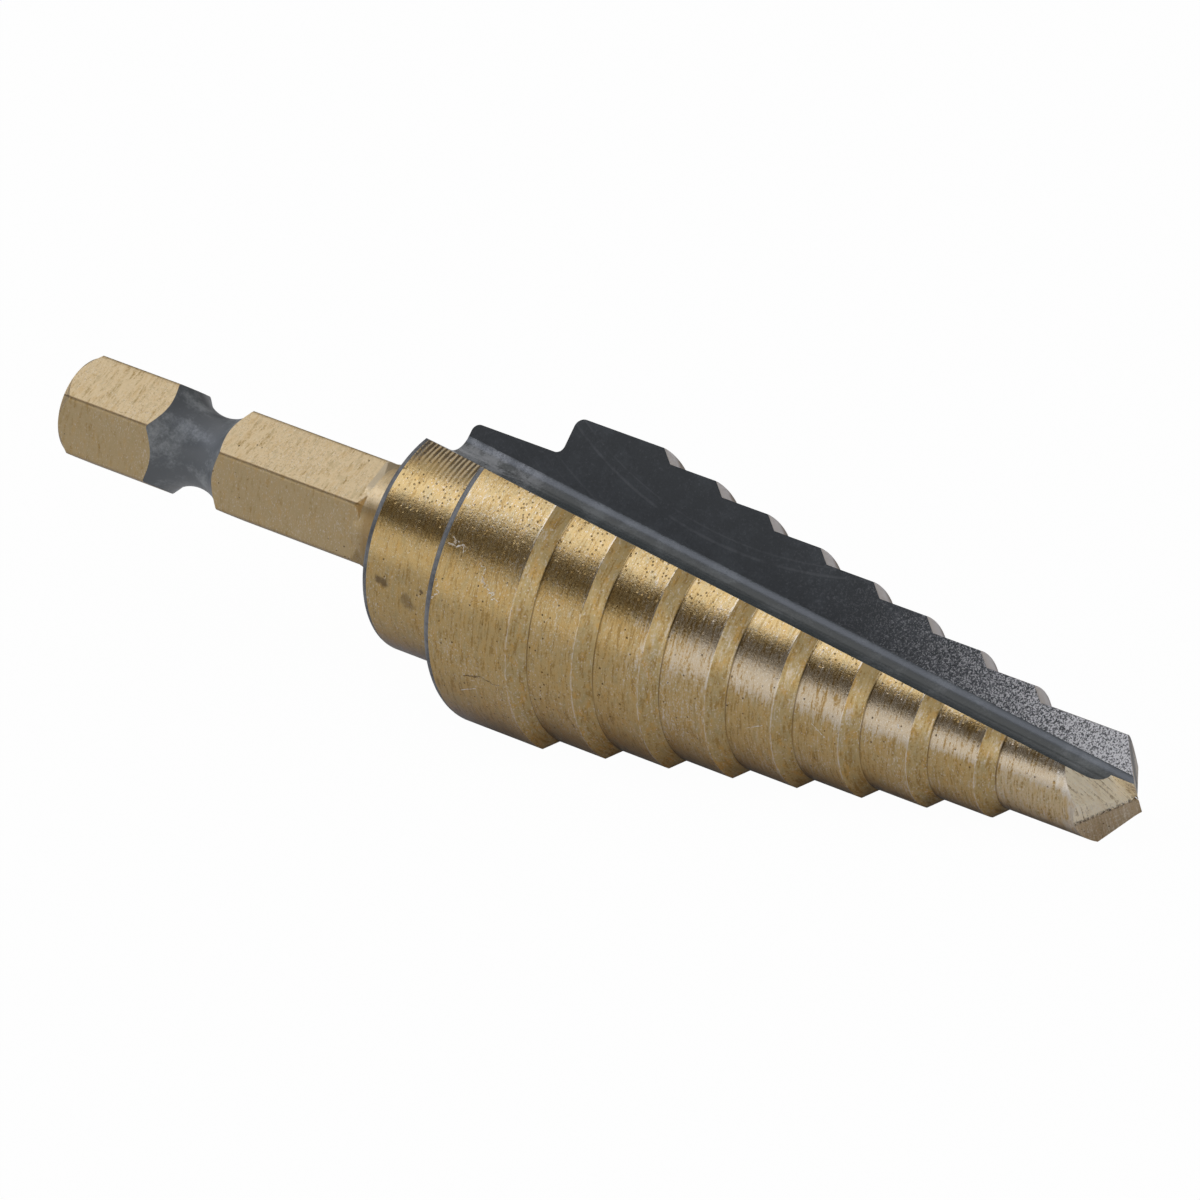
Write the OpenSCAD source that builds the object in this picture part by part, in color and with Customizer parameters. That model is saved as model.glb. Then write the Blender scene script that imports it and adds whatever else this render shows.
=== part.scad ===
// Nine-step drill with two straight flutes and a hexagonal quick-change shank.
// The tool is made along its own axis, z from the shank's end to the point, and is then laid as it
// comes to rest: one flute down, on the largest step's front edge and the point's nearer lip corner,
// with its axis along X and its point towards +X.

/* [Steps] */
// Diameter of the smallest step, which starts the hole
pilot_d = 6.35; // [5:0.05:7]
// Growth in diameter from each step to the next
step_rise = 1.5875; // [1.2:0.0125:2]
// Number of steps
step_count = 9; // [6:1:9]
// Distance from one step's front edge to the next
step_pitch = 4.16; // [3.4:0.02:6]
// Angle between a step's bevel and the axis
bevel_angle = 43; // [35:1:60]
// Length of the smallest step, from its shoulder to the chisel edge
pilot_len = 7.7; // [6:0.05:12]
// Length of the largest step, from its rear face to its front edge
big_step_len = 6.25; // [4:0.05:10]
// Radius of the rounded rear edge of the largest step
big_step_round = 0.6; // [0.2:0.1:1]

/* [Point] */
// Included angle of the two cutting lips
point_angle = 107; // [96:1:140]
// Angle between the chisel edge and the lips
chisel_angle = 67; // [55:1:80]
// Angle between the ground heel behind each lip and the axis
heel_angle = 43; // [36:0.5:50]
// Turn of the heel's slope from square with the cutting faces
heel_turn_in = 16; // [0:1:30]
// Depth of the heel's face below the tip, on the axis
heel_depth = 0.22; // [0.15:0.01:0.5]

/* [Flutes] */
// Thickness of the web between the two cutting faces
web = 2.12; // [1.4:0.02:2.6]
// Height of the flute's corner above the axis, at the rear face of the largest step
flute_rear_height = 4.25; // [4.1:0.01:4.4]
// Slope of the flute's floor towards the axis
flute_slope = 6; // [5.7:0.05:6.3]
// Angle between the cutting face and the floor of the flute
flute_angle = 96.8; // [92:0.1:100]
// Radius in the corner of the flute
flute_root_r = 1.4; // [0.6:0.1:1.8]

/* [Collar] */
// Diameter of the collar
collar_d = 14.2; // [13:0.1:16]
// Length of the collar
collar_len = 6.35; // [4:0.1:10]
// Radius of the collar's rounded rear edge
collar_round = 0.5; // [0.2:0.1:1]
// Radius of the fillet between the collar and the largest step
collar_fillet = 0.5; // [0.2:0.1:0.8]

/* [Shank] */
// Width of the hexagonal shank across its flats
hex_af = 6.3; // [6:0.05:6.35]
// Length of the shank, from its end to the collar
shank_len = 26.1; // [24:0.1:40]
// Turn of the hexagon's corners from square with the cutting faces
hex_turn = 8; // [0:1:30]
// Length of the turned neck between the hexagon and the collar
neck_len = 3.2; // [2:0.1:6]
// Diameter of the turned neck
neck_d = 6.5; // [6.4:0.05:6.9]
// Diameter of the flat on the shank's end
shank_end_d = 6.2; // [4:0.1:6.3]
// Angle between the shank's end bevel and the axis
shank_bevel_angle = 33.5; // [25:0.5:60]
// Distance from the shank's end to the middle of the ball groove
groove_pos = 9.5; // [8:0.1:12]
// Diameter at the bottom of the ball groove
groove_d = 4.54; // [4.2:0.02:5]
// Radius of the ball groove's section
groove_r = 3.6; // [2.6:0.1:4.2]

/* [Hidden] */
$fn = 96;

web_half = web / 2;
step_r = step_rise / 2;
bevel_len = step_r / tan(bevel_angle);
big_r = pilot_d / 2 + (step_count - 1) * step_r;
hex_corner_r = hex_af / sqrt(3);
shoulder_len = hex_corner_r - neck_d / 2;

// Stations along the axis, from the shank's end
neck_z = shank_len - neck_len;
collar_z = shank_len;
body_z = collar_z + collar_len;
first_edge_z = body_z + big_step_len;
pilot_z = first_edge_z + (step_count - 2) * step_pitch + bevel_len;
tip_z = pilot_z + pilot_len;

// The flute's floor in the section at the largest step's front edge, as y = floor_y + floor_k * x,
// and the turns about the axis of the two edges that it rests on there
floor_k = tan(flute_angle - 90);
floor_y = flute_rear_height - big_step_len * tan(flute_slope) + floor_k * web_half;
heel_x = (floor_k * floor_y + sqrt(big_r * big_r * (1 + floor_k * floor_k) - floor_y * floor_y))
    / (1 + floor_k * floor_k);
heel_turn = atan2(floor_y - floor_k * heel_x, heel_x);
lip_turn = acos(web_half / big_r);

// Lying with the lower flute's two edges level: the turn about the axis, and the axis's height
rest_turn = (heel_turn + lip_turn) / 2;
rest_height = big_r * cos((lip_turn - heel_turn) / 2);

// The lip's outer corner on the smallest step touches too: the dip of the axis that this takes
pilot_lip_turn = acos(2 * web_half / pilot_d);
pilot_lip_drop = pilot_d / 2 * cos(180 - chisel_angle - pilot_lip_turn) / tan(point_angle / 2);
pilot_lip_height = pilot_d / 2 * cos(rest_turn - pilot_lip_turn);
rest_dip = atan((rest_height - pilot_lip_height) / (tip_z - pilot_lip_drop - first_edge_z));

// Where the dipped tool begins and ends along X, and how high the shank's end is lifted
chisel_rise = web_half / sin(chisel_angle) * cos(rest_turn + chisel_angle - 90);
rest_start = -shank_end_d / 2 * sin(rest_dip);
rest_end = tip_z * cos(rest_dip) + chisel_rise * sin(rest_dip);
rest_lift = rest_height * cos(rest_dip) + first_edge_z * sin(rest_dip);

// The corner that a radius takes off a square edge, or fills in a square corner
module corner(r) {
    difference() {
        square([r, r]);
        circle(r = r);
    }
}

// Half section of the collar, the steps and the point's blank, with the axis on the left
module stepped_outline() {
    function step_radius(i) = big_r - i * step_r;
    points = concat(
        [[0, collar_z], [collar_d / 2, collar_z], [collar_d / 2, body_z], [big_r, body_z]],
        [for (i = [0 : step_count - 2]) each [
            [step_radius(i), first_edge_z + i * step_pitch],
            [step_radius(i + 1), first_edge_z + i * step_pitch + bevel_len]
        ]],
        [[pilot_d / 2, tip_z], [0, tip_z]]
    );
    difference() {
        union() {
            polygon(points);
            translate([collar_d / 2 + collar_fillet, body_z - collar_fillet]) {
                mirror([1, 0]) corner(collar_fillet);
            }
        }
        translate([big_r - big_step_round, body_z + big_step_round]) {
            mirror([0, 1]) corner(big_step_round);
        }
        translate([collar_d / 2 - collar_round, collar_z + collar_round]) {
            mirror([0, 1]) corner(collar_round);
        }
    }
}

// Half section of the bar that the hexagon is cut from: end bevel, and shoulder down into the neck
module bar_outline() {
    bar_r = hex_corner_r + 1;
    end_r = shank_end_d / 2;
    polygon([
        [0, 0], [end_r, 0],
        [bar_r, (bar_r - end_r) / tan(shank_bevel_angle)],
        [bar_r, neck_z + neck_d / 2 - bar_r],
        [neck_d / 2 - shoulder_len, neck_z + shoulder_len], [0, neck_z + shoulder_len]
    ]);
}

// Hexagonal shank with its beveled end, turned neck and ball groove
module shank() {
    difference() {
        union() {
            intersection() {
                rotate([0, 0, hex_turn]) cylinder(r = hex_corner_r, h = collar_z, $fn = 6);
                rotate_extrude() bar_outline();
            }
            translate([0, 0, neck_z - shoulder_len]) {
                cylinder(d = neck_d, h = shoulder_len + neck_len + collar_round);
            }
        }
        translate([0, 0, groove_pos]) {
            rotate_extrude() translate([groove_d / 2 + groove_r, 0]) circle(r = groove_r);
        }
    }
}

// Section of the space that one flute clears, with its rounded corner by the origin
module flute_outline() {
    reach = 2 * big_r;
    tilt = flute_angle - 90;
    centre_y = flute_root_r * (1 - sin(tilt)) / cos(tilt);
    difference() {
        polygon([[0, 0], [reach * cos(tilt), -reach * sin(tilt)], [reach, reach], [0, reach]]);
        difference() {
            polygon([
                [0, 0],
                [flute_root_r * (1 - sin(tilt)), centre_y - flute_root_r * cos(tilt)],
                [flute_root_r, centre_y],
                [0, centre_y]
            ]);
            translate([flute_root_r, centre_y]) circle(r = flute_root_r);
        }
    }
}

// Space that one flute clears: its cutting face is parallel to the axis and its floor slopes to it
module flute() {
    back = collar_len + neck_len;
    length = tip_z - body_z + 2 * back;
    translate([-web_half, flute_rear_height, body_z]) {
        rotate([flute_slope, 0, 0]) {
            mirror([1, 0, 0]) translate([0, 0, -back]) linear_extrude(length) flute_outline();
        }
    }
}

// Everything inside the two lip planes, which meet in the chisel edge
module lip_grind() {
    half = 2 * big_r;
    drop = half / tan(point_angle / 2);
    rotate([90, 0, chisel_angle]) {
        linear_extrude(2 * half, center = true) {
            polygon([[-half, -half], [half, -half], [half, tip_z - drop], [0, tip_z], [-half, tip_z - drop]]);
        }
    }
}

// Space that one heel grind clears: above its face, and up to the other half along the chisel edge
module heel_grind() {
    reach = 2 * big_r;
    intersection() {
        translate([0, 0, tip_z - heel_depth]) {
            rotate([0, 90 - heel_angle, 180 - heel_turn_in]) {
                translate([-reach, -reach, 0]) cube(2 * reach);
            }
        }
        rotate([0, 0, chisel_angle]) {
            translate([-2 * reach, -reach, tip_z - reach]) cube(2 * reach);
        }
    }
}

// The tool on its own axis
module tool() {
    intersection() {
        difference() {
            union() {
                rotate_extrude() stepped_outline();
                shank();
            }
            flute();
            rotate([0, 0, 180]) flute();
        }
        difference() {
            lip_grind();
            heel_grind();
            rotate([0, 0, 180]) heel_grind();
        }
    }
}

// The whole drill, one piece, lying on its side
module step_drill() {
    color("goldenrod") {
        translate([-(rest_start + rest_end) / 2, 0, rest_lift]) {
            rotate([0, 90 + rest_dip, 0]) rotate([0, 0, rest_turn]) tool();
        }
    }
}

step_drill();
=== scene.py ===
"""A nine-step drill with two straight flutes, a round collar and a hexagonal quick-change shank.

The drill is worked out in its own frame, in millimetres, with z along the axis from the shank's end to the
point. It is then laid in the row frame as it comes to rest: one flute down, its point towards +X.
"""
import logging
import math
from dataclasses import dataclass, field
from enum import Enum, IntEnum

import bmesh
import bpy
import numpy as np
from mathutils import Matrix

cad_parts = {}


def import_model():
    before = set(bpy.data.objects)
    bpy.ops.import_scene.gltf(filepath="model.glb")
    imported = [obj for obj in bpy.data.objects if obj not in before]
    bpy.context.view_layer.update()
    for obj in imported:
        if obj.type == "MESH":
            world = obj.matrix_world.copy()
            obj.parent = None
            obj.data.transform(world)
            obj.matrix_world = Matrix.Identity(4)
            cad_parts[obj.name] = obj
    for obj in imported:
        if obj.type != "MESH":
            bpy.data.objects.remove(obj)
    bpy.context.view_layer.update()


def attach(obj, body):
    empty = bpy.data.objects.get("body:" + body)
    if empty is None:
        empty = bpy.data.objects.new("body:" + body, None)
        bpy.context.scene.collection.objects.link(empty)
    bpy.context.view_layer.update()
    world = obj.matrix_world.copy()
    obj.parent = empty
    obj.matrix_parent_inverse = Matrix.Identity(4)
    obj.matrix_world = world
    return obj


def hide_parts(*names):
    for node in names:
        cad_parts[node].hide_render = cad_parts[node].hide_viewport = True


LOG = logging.getLogger("step_drill")
MM = 0.001
Array = np.ndarray
Colour = tuple[float, float, float]
Span = tuple[float, float]


class Finish(IntEnum):
    """The drill's finishes, in the order of its material slots."""

    LAND = 0
    BEVEL = 1
    SHANK = 2
    COLLAR = 3
    POINT = 4
    FACE = 5
    ROOT = 6
    GROOVE = 7
    BAND = 8


@dataclass(frozen=True)
class Sizes:
    """The drill's sizes, in millimetres and degrees, as the solid model has them."""

    pilot_d: float = 6.35
    step_rise: float = 1.5875
    step_count: int = 9
    step_pitch: float = 4.16
    bevel_angle: float = 43.0
    pilot_len: float = 7.7
    big_step_len: float = 6.25
    big_step_round: float = 0.6
    point_angle: float = 107.0
    chisel_angle: float = 67.0
    heel_angle: float = 43.0
    heel_turn_in: float = 16.0
    heel_depth: float = 0.22
    web: float = 2.12
    flute_rear_height: float = 4.25
    flute_slope: float = 6.0
    flute_angle: float = 96.8
    flute_root_r: float = 1.4
    collar_d: float = 14.2
    collar_len: float = 6.35
    collar_round: float = 0.5
    collar_fillet: float = 0.5
    hex_af: float = 6.3
    shank_len: float = 26.1
    hex_turn: float = 8.0
    neck_len: float = 3.2
    neck_d: float = 6.5
    shank_end_d: float = 6.2
    shank_bevel_angle: float = 33.5
    groove_pos: float = 9.5
    groove_d: float = 4.54
    groove_r: float = 3.6

    @property
    def web_half(self) -> float:
        """Half the web."""
        return self.web / 2

    @property
    def step_r(self) -> float:
        """Growth in radius from each step to the next."""
        return self.step_rise / 2

    @property
    def bevel_len(self) -> float:
        """Length of a step's bevel along the axis."""
        return self.step_r / math.tan(math.radians(self.bevel_angle))

    @property
    def big_r(self) -> float:
        """Radius of the largest step."""
        return self.pilot_d / 2 + (self.step_count - 1) * self.step_r

    @property
    def body_z(self) -> float:
        """Station of the largest step's rear face."""
        return self.shank_len + self.collar_len

    @property
    def first_edge_z(self) -> float:
        """Station of the largest step's front edge."""
        return self.body_z + self.big_step_len

    @property
    def pilot_z(self) -> float:
        """Station where the smallest step begins."""
        return self.first_edge_z + (self.step_count - 2) * self.step_pitch + self.bevel_len

    @property
    def tip_z(self) -> float:
        """Station of the chisel edge."""
        return self.pilot_z + self.pilot_len

    @property
    def floor_k(self) -> float:
        """Slope of the flute's floor across the tool."""
        return math.tan(math.radians(self.flute_angle - 90))


@dataclass(frozen=True)
class Rest:
    """How the drill lies: turned by turn about its axis, dipped by dip, and moved by shift and lift."""

    turn: float
    dip: float
    shift: float
    lift: float

    @classmethod
    def of(cls, s: Sizes) -> "Rest":
        """Works out the pose that rests on the largest step's two edges and the point's nearer lip corner.

        Args:
            s: the drill's sizes.

        Returns:
            The pose, with angles in radians and lengths in millimetres.
        """
        k, w, big = s.floor_k, s.web_half, s.big_r
        floor_y = s.flute_rear_height - s.big_step_len * math.tan(math.radians(s.flute_slope)) + k * w
        heel_x = (k * floor_y + math.sqrt(big * big * (1 + k * k) - floor_y * floor_y)) / (1 + k * k)
        heel_turn, lip_turn = math.atan2(floor_y - k * heel_x, heel_x), math.acos(w / big)
        turn, height = (heel_turn + lip_turn) / 2, big * math.cos((lip_turn - heel_turn) / 2)
        chisel = math.radians(s.chisel_angle)
        pilot_lip = math.acos(2 * w / s.pilot_d)
        lip_fall = math.tan(math.radians(s.point_angle / 2))
        drop = s.pilot_d / 2 * math.cos(math.pi - chisel - pilot_lip) / lip_fall
        low = s.pilot_d / 2 * math.cos(turn - pilot_lip)
        dip = math.atan((height - low) / (s.tip_z - drop - s.first_edge_z))
        rise = w / math.sin(chisel) * math.cos(turn + chisel - math.pi / 2)
        start = -s.shank_end_d / 2 * math.sin(dip)
        end = s.tip_z * math.cos(dip) + rise * math.sin(dip)
        lift = height * math.cos(dip) + s.first_edge_z * math.sin(dip)
        return cls(turn, dip, -(start + end) / 2, lift)

    def axes(self) -> Array:
        """The tool's x, y and z directions in the row frame, one to a row."""
        ct, st, cd, sd = math.cos(self.turn), math.sin(self.turn), math.cos(self.dip), math.sin(self.dip)
        return np.array([[-ct * sd, st, -ct * cd], [st * sd, ct, st * cd], [cd, 0.0, -sd]])

    def origin(self) -> Array:
        """The shank's end in the row frame, in millimetres."""
        return np.array([self.shift, 0.0, self.lift])

    def place(self, points: Array) -> Array:
        """Carries points of the tool's frame, in millimetres, to the row frame, in metres."""
        return (points @ self.axes() + self.origin()) * MM


def polar(radius: Array, angle: Array) -> Array:
    """Points at a radius and an angle, as columns x and y."""
    return np.stack([radius * np.cos(angle), radius * np.sin(angle)], -1)


def eased(count: int, ends: float = 0.6) -> Array:
    """count + 1 shares from 0 to 1, closer together near both ends: a line mixed with half a cosine wave."""
    t = np.linspace(0.0, 1.0, count + 1)
    return (1 - ends) * t + ends * (1 - np.cos(math.pi * t)) / 2


def shares(count: int) -> Array:
    """The count even shares that follow 0, up to 1."""
    return np.linspace(0, 1, count + 1)[1:]


@dataclass
class Grid:
    """Rings of equal counts joined into a skin, with one finish per quad."""

    rings: list[Array] = field(default_factory=list)
    finishes: list[Array] = field(default_factory=list)

    def add(self, ring: Array, finish: Array | int = 0) -> None:
        """Adds a ring, and the finishes of the quads that join it to the ring before it."""
        self.rings.append(ring)
        self.finishes.append(np.broadcast_to(np.asarray(finish), (len(ring),)))

    def skin(self) -> tuple[Array, Array, Array]:
        """Points, quads and finishes: ring i's point j is joined to its next point and to ring i + 1."""
        points = np.concatenate(self.rings)
        count, rows = len(self.rings[0]), len(self.rings)
        i, j = np.meshgrid(np.arange(rows - 1), np.arange(count), indexing="ij")
        nxt = (j + 1) % count
        quads = np.stack([i * count + j, i * count + nxt, (i + 1) * count + nxt, (i + 1) * count + j], -1)
        return points, quads.reshape(-1, 4), np.concatenate(self.finishes[1:])


@dataclass
class Flutes:
    """Cross-sections of the fluted part: two arcs, and two flutes of a face, a rounded root and a floor."""

    s: Sizes
    arc_count: int = 96
    floor_count: int = 12
    root_count: int = 14
    face_count: int = 16

    @property
    def count(self) -> int:
        """Points in a whole section."""
        return 2 * (self.arc_count + self.floor_count + self.root_count + self.face_count)

    def half_finishes(self, arc: Finish) -> Array:
        """Finishes of one half's quads, the arc's first: each quad starts at its own point."""
        root = self.floor_count + self.root_count
        half = np.concatenate([np.full(self.arc_count, arc), np.full(root, Finish.ROOT),
                               np.full(self.face_count, Finish.FACE)])
        return np.concatenate([half, half])

    def section(self, z: float, radius: float) -> Array:
        """The section at a station, clockwise from one lip.

        The arc runs from the lip, where the cutting face at x = -web / 2 meets the circle, to the heel,
        where the other flute's floor, the line y = -(floor_y - k x), does. The floor's line, an arc that
        touches it and the face's line, and the face's line itself lead on to the other lip. Half a turn
        gives the other half.

        Args:
            z: station along the axis.
            radius: the outer radius there.

        Returns:
            Points of the section, one to a row, with z as the third column.
        """
        s, w = self.s, self.s.web_half
        stretch = 1 / math.cos(math.radians(s.flute_slope))
        k = s.floor_k * stretch
        corner = s.flute_rear_height - (z - s.body_z) * math.tan(math.radians(s.flute_slope))
        floor_y = corner + k * w
        heel_x = (k * floor_y + math.sqrt(radius ** 2 * (1 + k * k) - floor_y ** 2)) / (1 + k * k)
        heel = np.array([heel_x, -(floor_y - k * heel_x)])
        lip_y = math.sqrt(radius ** 2 - w * w)
        start, end = math.atan2(lip_y, -w), math.atan2(heel[1], heel[0])
        arc = polar(np.full(self.arc_count, radius), start + (end - start) * eased(self.arc_count)[:-1])
        tilt, rho = math.radians(s.flute_angle - 90), s.flute_root_r
        centre_v = rho * (1 - math.sin(tilt)) / math.cos(tilt)
        swing = -math.pi / 2 - tilt + (-math.pi / 2 + tilt) * np.linspace(0, 1, self.root_count + 1)
        root_y = -(corner + stretch * (centre_v + rho * np.sin(swing)))
        root = np.stack([w + rho * (1 + np.cos(swing)), root_y], -1)
        floor = heel + (root[0] - heel) * eased(self.floor_count)[:-1, None]
        top, lip = root[-1], np.array([w, -lip_y])
        root = root[:-1]
        face = top + (lip - top) * eased(self.face_count)[:-1, None]
        half = np.concatenate([arc, floor, root, face])
        both = np.concatenate([half, -half])
        return np.column_stack([both, np.full(len(both), z)])


@dataclass
class Outline:
    """The profile of the collar and the steps, as rows of station, radius and the finish that leads there."""

    s: Sizes
    edge_round: float = 0.07
    foot_round: float = 0.09
    undercut: float = 0.004
    round_steps: int = 8
    edge_steps: int = 4
    foot_steps: int = 3
    collar_steps: int = 11
    land_steps: int = 7
    bevel_steps: int = 5
    pilot_steps: int = 19

    def rounded(self, before: Array, corner: Array, after: Array, radius: float, count: int) -> Array:
        """A corner of the profile rounded by an arc of that radius that touches both of its sides.

        Args:
            before: the profile's point before the corner.
            corner: the corner.
            after: the profile's point after it.
            radius: the arc's radius.
            count: steps of the arc.

        Returns:
            The arc's points as rows.
        """
        a, b = before - corner, after - corner
        a, b = a / np.linalg.norm(a), b / np.linalg.norm(b)
        half = math.acos(float(np.clip(a @ b, -1, 1))) / 2
        reach = radius / math.tan(half)
        centre = corner + (a + b) / np.linalg.norm(a + b) * radius / math.sin(half)
        p, q = corner + a * reach - centre, corner + b * reach - centre
        t = np.linspace(0, 1, count + 1)[:, None]
        swing = math.pi - 2 * half
        return centre + (np.sin((1 - t) * swing) * p + np.sin(t * swing) * q) / math.sin(swing)

    def rows(self, end_z: float) -> list[tuple[float, float, Finish]]:
        """The profile from the collar's rear face to a station past the tip.

        Args:
            end_z: the last station.

        Returns:
            Rows of station, radius and finish.
        """
        s = self.s
        collar_r = s.collar_d / 2
        rows: list[tuple[float, float, Finish]] = []

        def take(points: Array, finish: Finish) -> None:
            """Adds the points as rows of one finish."""
            rows.extend((float(z), float(r), finish) for z, r in points)

        def between(start: Array | list[float], end: Array | list[float], steps: int, finish: Finish) -> None:
            """Adds the points of a straight line, without its ends."""
            take(np.linspace(start, end, steps + 1)[1:-1], finish)

        rear = np.array([s.shank_len, collar_r])
        body = np.array([s.body_z - self.undercut, collar_r])
        top = np.array([s.body_z, s.big_r])
        front = np.array([s.first_edge_z, s.big_r])
        axis = np.array([s.shank_len, 0.0])
        take(self.rounded(axis, rear, body, s.collar_round, self.round_steps), Finish.BAND)
        between([s.shank_len + s.collar_round, collar_r], [body[0] - s.collar_fillet, collar_r],
                self.collar_steps, Finish.COLLAR)
        take(self.rounded(rear, body, top, s.collar_fillet, self.round_steps), Finish.COLLAR)
        take(self.rounded(body, top, front, s.big_step_round, self.round_steps), Finish.BAND)
        edge = front
        for i in range(s.step_count - 1):
            r = s.big_r - i * s.step_r
            foot = np.array([edge[0] + s.bevel_len, r - s.step_r])
            last = i == s.step_count - 2
            nxt = np.array([end_z if last else edge[0] + s.step_pitch, r - s.step_r])
            before = np.array([rows[-1][0], r])
            arc = self.rounded(before, edge, foot, self.edge_round, self.edge_steps)
            between(before, [arc[0][0], r], self.land_steps, Finish.LAND)
            take(arc, Finish.LAND)
            inner = self.rounded(edge, foot, nxt, self.foot_round, self.foot_steps)
            between(arc[-1], inner[0], self.bevel_steps, Finish.BEVEL)
            take(inner, Finish.BEVEL)
            edge = nxt
        pilot = np.linspace([rows[-1][0], s.pilot_d / 2], [end_z, s.pilot_d / 2], self.pilot_steps + 1)
        take(pilot[1:], Finish.LAND)
        return rows


@dataclass
class Shank:
    """The hexagonal shank: end face, beveled end, flats, ball groove, shoulder and neck."""

    s: Sizes
    corner_round: float = 0.05
    corner_ease: float = 0.012
    gather: float = 0.8
    face_shares: tuple[float, ...] = (0.02, 0.25, 0.5, 0.75, 0.93)
    rim_width: float = 0.08
    rim_depth: float = 0.048
    bevel_start: float = 0.05
    rim_steps: int = 4
    bevel_steps: int = 3
    end_steps: int = 9
    groove_steps: int = 24
    flat_steps: int = 15
    shoulder_steps: int = 6

    def hexagon(self, angle: Array) -> Array:
        """The hexagon's radius: the flat's distance over the cosine of the angle from the flat's middle.

        Args:
            angle: angles about the axis.

        Returns:
            The radii, held softly under the corner's radius less its rounding.
        """
        s = self.s
        turn = np.mod(angle - math.radians(s.hex_turn), math.pi / 3) - math.pi / 6
        flat = s.hex_af / 2 / np.cos(turn)
        limit = s.hex_af / math.sqrt(3) - self.corner_round
        return limit - np.logaddexp(0.0, (limit - flat) / self.corner_ease) * self.corner_ease

    def angles(self, count: int, start: float) -> Array:
        """Angles of a ring, clockwise: each of the hexagon's corners is a point, and points gather there.

        Args:
            count: points of the ring, a multiple of six.
            start: an angle near which the ring begins.

        Returns:
            The angles in radians.
        """
        per = count // 6
        step = math.pi / 3
        first = math.radians(self.s.hex_turn) + round((start - math.radians(self.s.hex_turn)) / step) * step
        t = eased(per, self.gather)[:-1]
        return np.concatenate([first - (i + t) * step for i in range(6)])

    def rings(self, count: int, start: float) -> list[tuple[Array, Array | int]]:
        """The shank's rings from its end face to the neck's start.

        Each column has its own stations, so that rings follow the scallops where the bevel, the groove and
        the shoulder cross the flats: those stations are where the hexagon's radius equals the turned radius.

        Args:
            count: points of each ring.
            start: an angle near which the rings begin.

        Returns:
            Rings with the finish of the quads that lead to each.
        """
        s = self.s
        angle = self.angles(count, start)
        hexagon = self.hexagon(angle)
        end_r, neck_r = s.shank_end_d / 2, s.neck_d / 2
        neck_z = s.shank_len - s.neck_len
        shoulder = s.hex_af / math.sqrt(3) - neck_r
        centre_r = s.groove_d / 2 + s.groove_r
        reach = np.sqrt(s.groove_r ** 2 - (centre_r - hexagon) ** 2)
        bevel_z = (hexagon - end_r) / math.tan(math.radians(s.shank_bevel_angle))
        rings: list[tuple[Array, Array | int]] = []

        def ring(z: Array | float, r: Array | float, finish: int) -> None:
            """Adds one ring at a station and radius per column."""
            z, r = np.broadcast_to(z, (count,)), np.broadcast_to(r, (count,))
            rings.append((np.column_stack([polar(r, angle), z]), finish))

        for share in self.face_shares:
            ring(0.0, end_r * share, Finish.SHANK)
        for rise in np.sin(np.linspace(0, math.pi / 2, self.rim_steps + 1)):
            ring(self.rim_depth * (1 - rise), end_r - self.rim_width * (1 - rise), Finish.SHANK)
        for share in shares(self.bevel_steps):
            z = self.bevel_start + (bevel_z - self.bevel_start) * share
            ring(z, end_r + (hexagon - end_r) * share, Finish.SHANK)
        for share in shares(self.end_steps):
            ring(bevel_z + (s.groove_pos - reach - bevel_z) * share, hexagon, Finish.SHANK)
        for share in np.linspace(-1, 1, self.groove_steps + 1)[1:]:
            z = reach * share
            ring(s.groove_pos + z, centre_r - np.sqrt(s.groove_r ** 2 - z ** 2), Finish.GROOVE)
        first = neck_z - shoulder
        shoulder_z = np.where(hexagon > neck_r, neck_z - (hexagon - neck_r), first)
        low = s.groove_pos + reach
        for share in shares(self.flat_steps):
            ring(low + (np.minimum(shoulder_z, first) - low) * share, hexagon, Finish.SHANK)
        for share in np.linspace(0, 1, self.shoulder_steps + 1):
            z = first + (neck_z - first) * share
            cone = neck_r + neck_z - z
            ring(z, np.maximum(np.minimum(hexagon, cone), neck_r), Finish.SHANK)
        return rings


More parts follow.
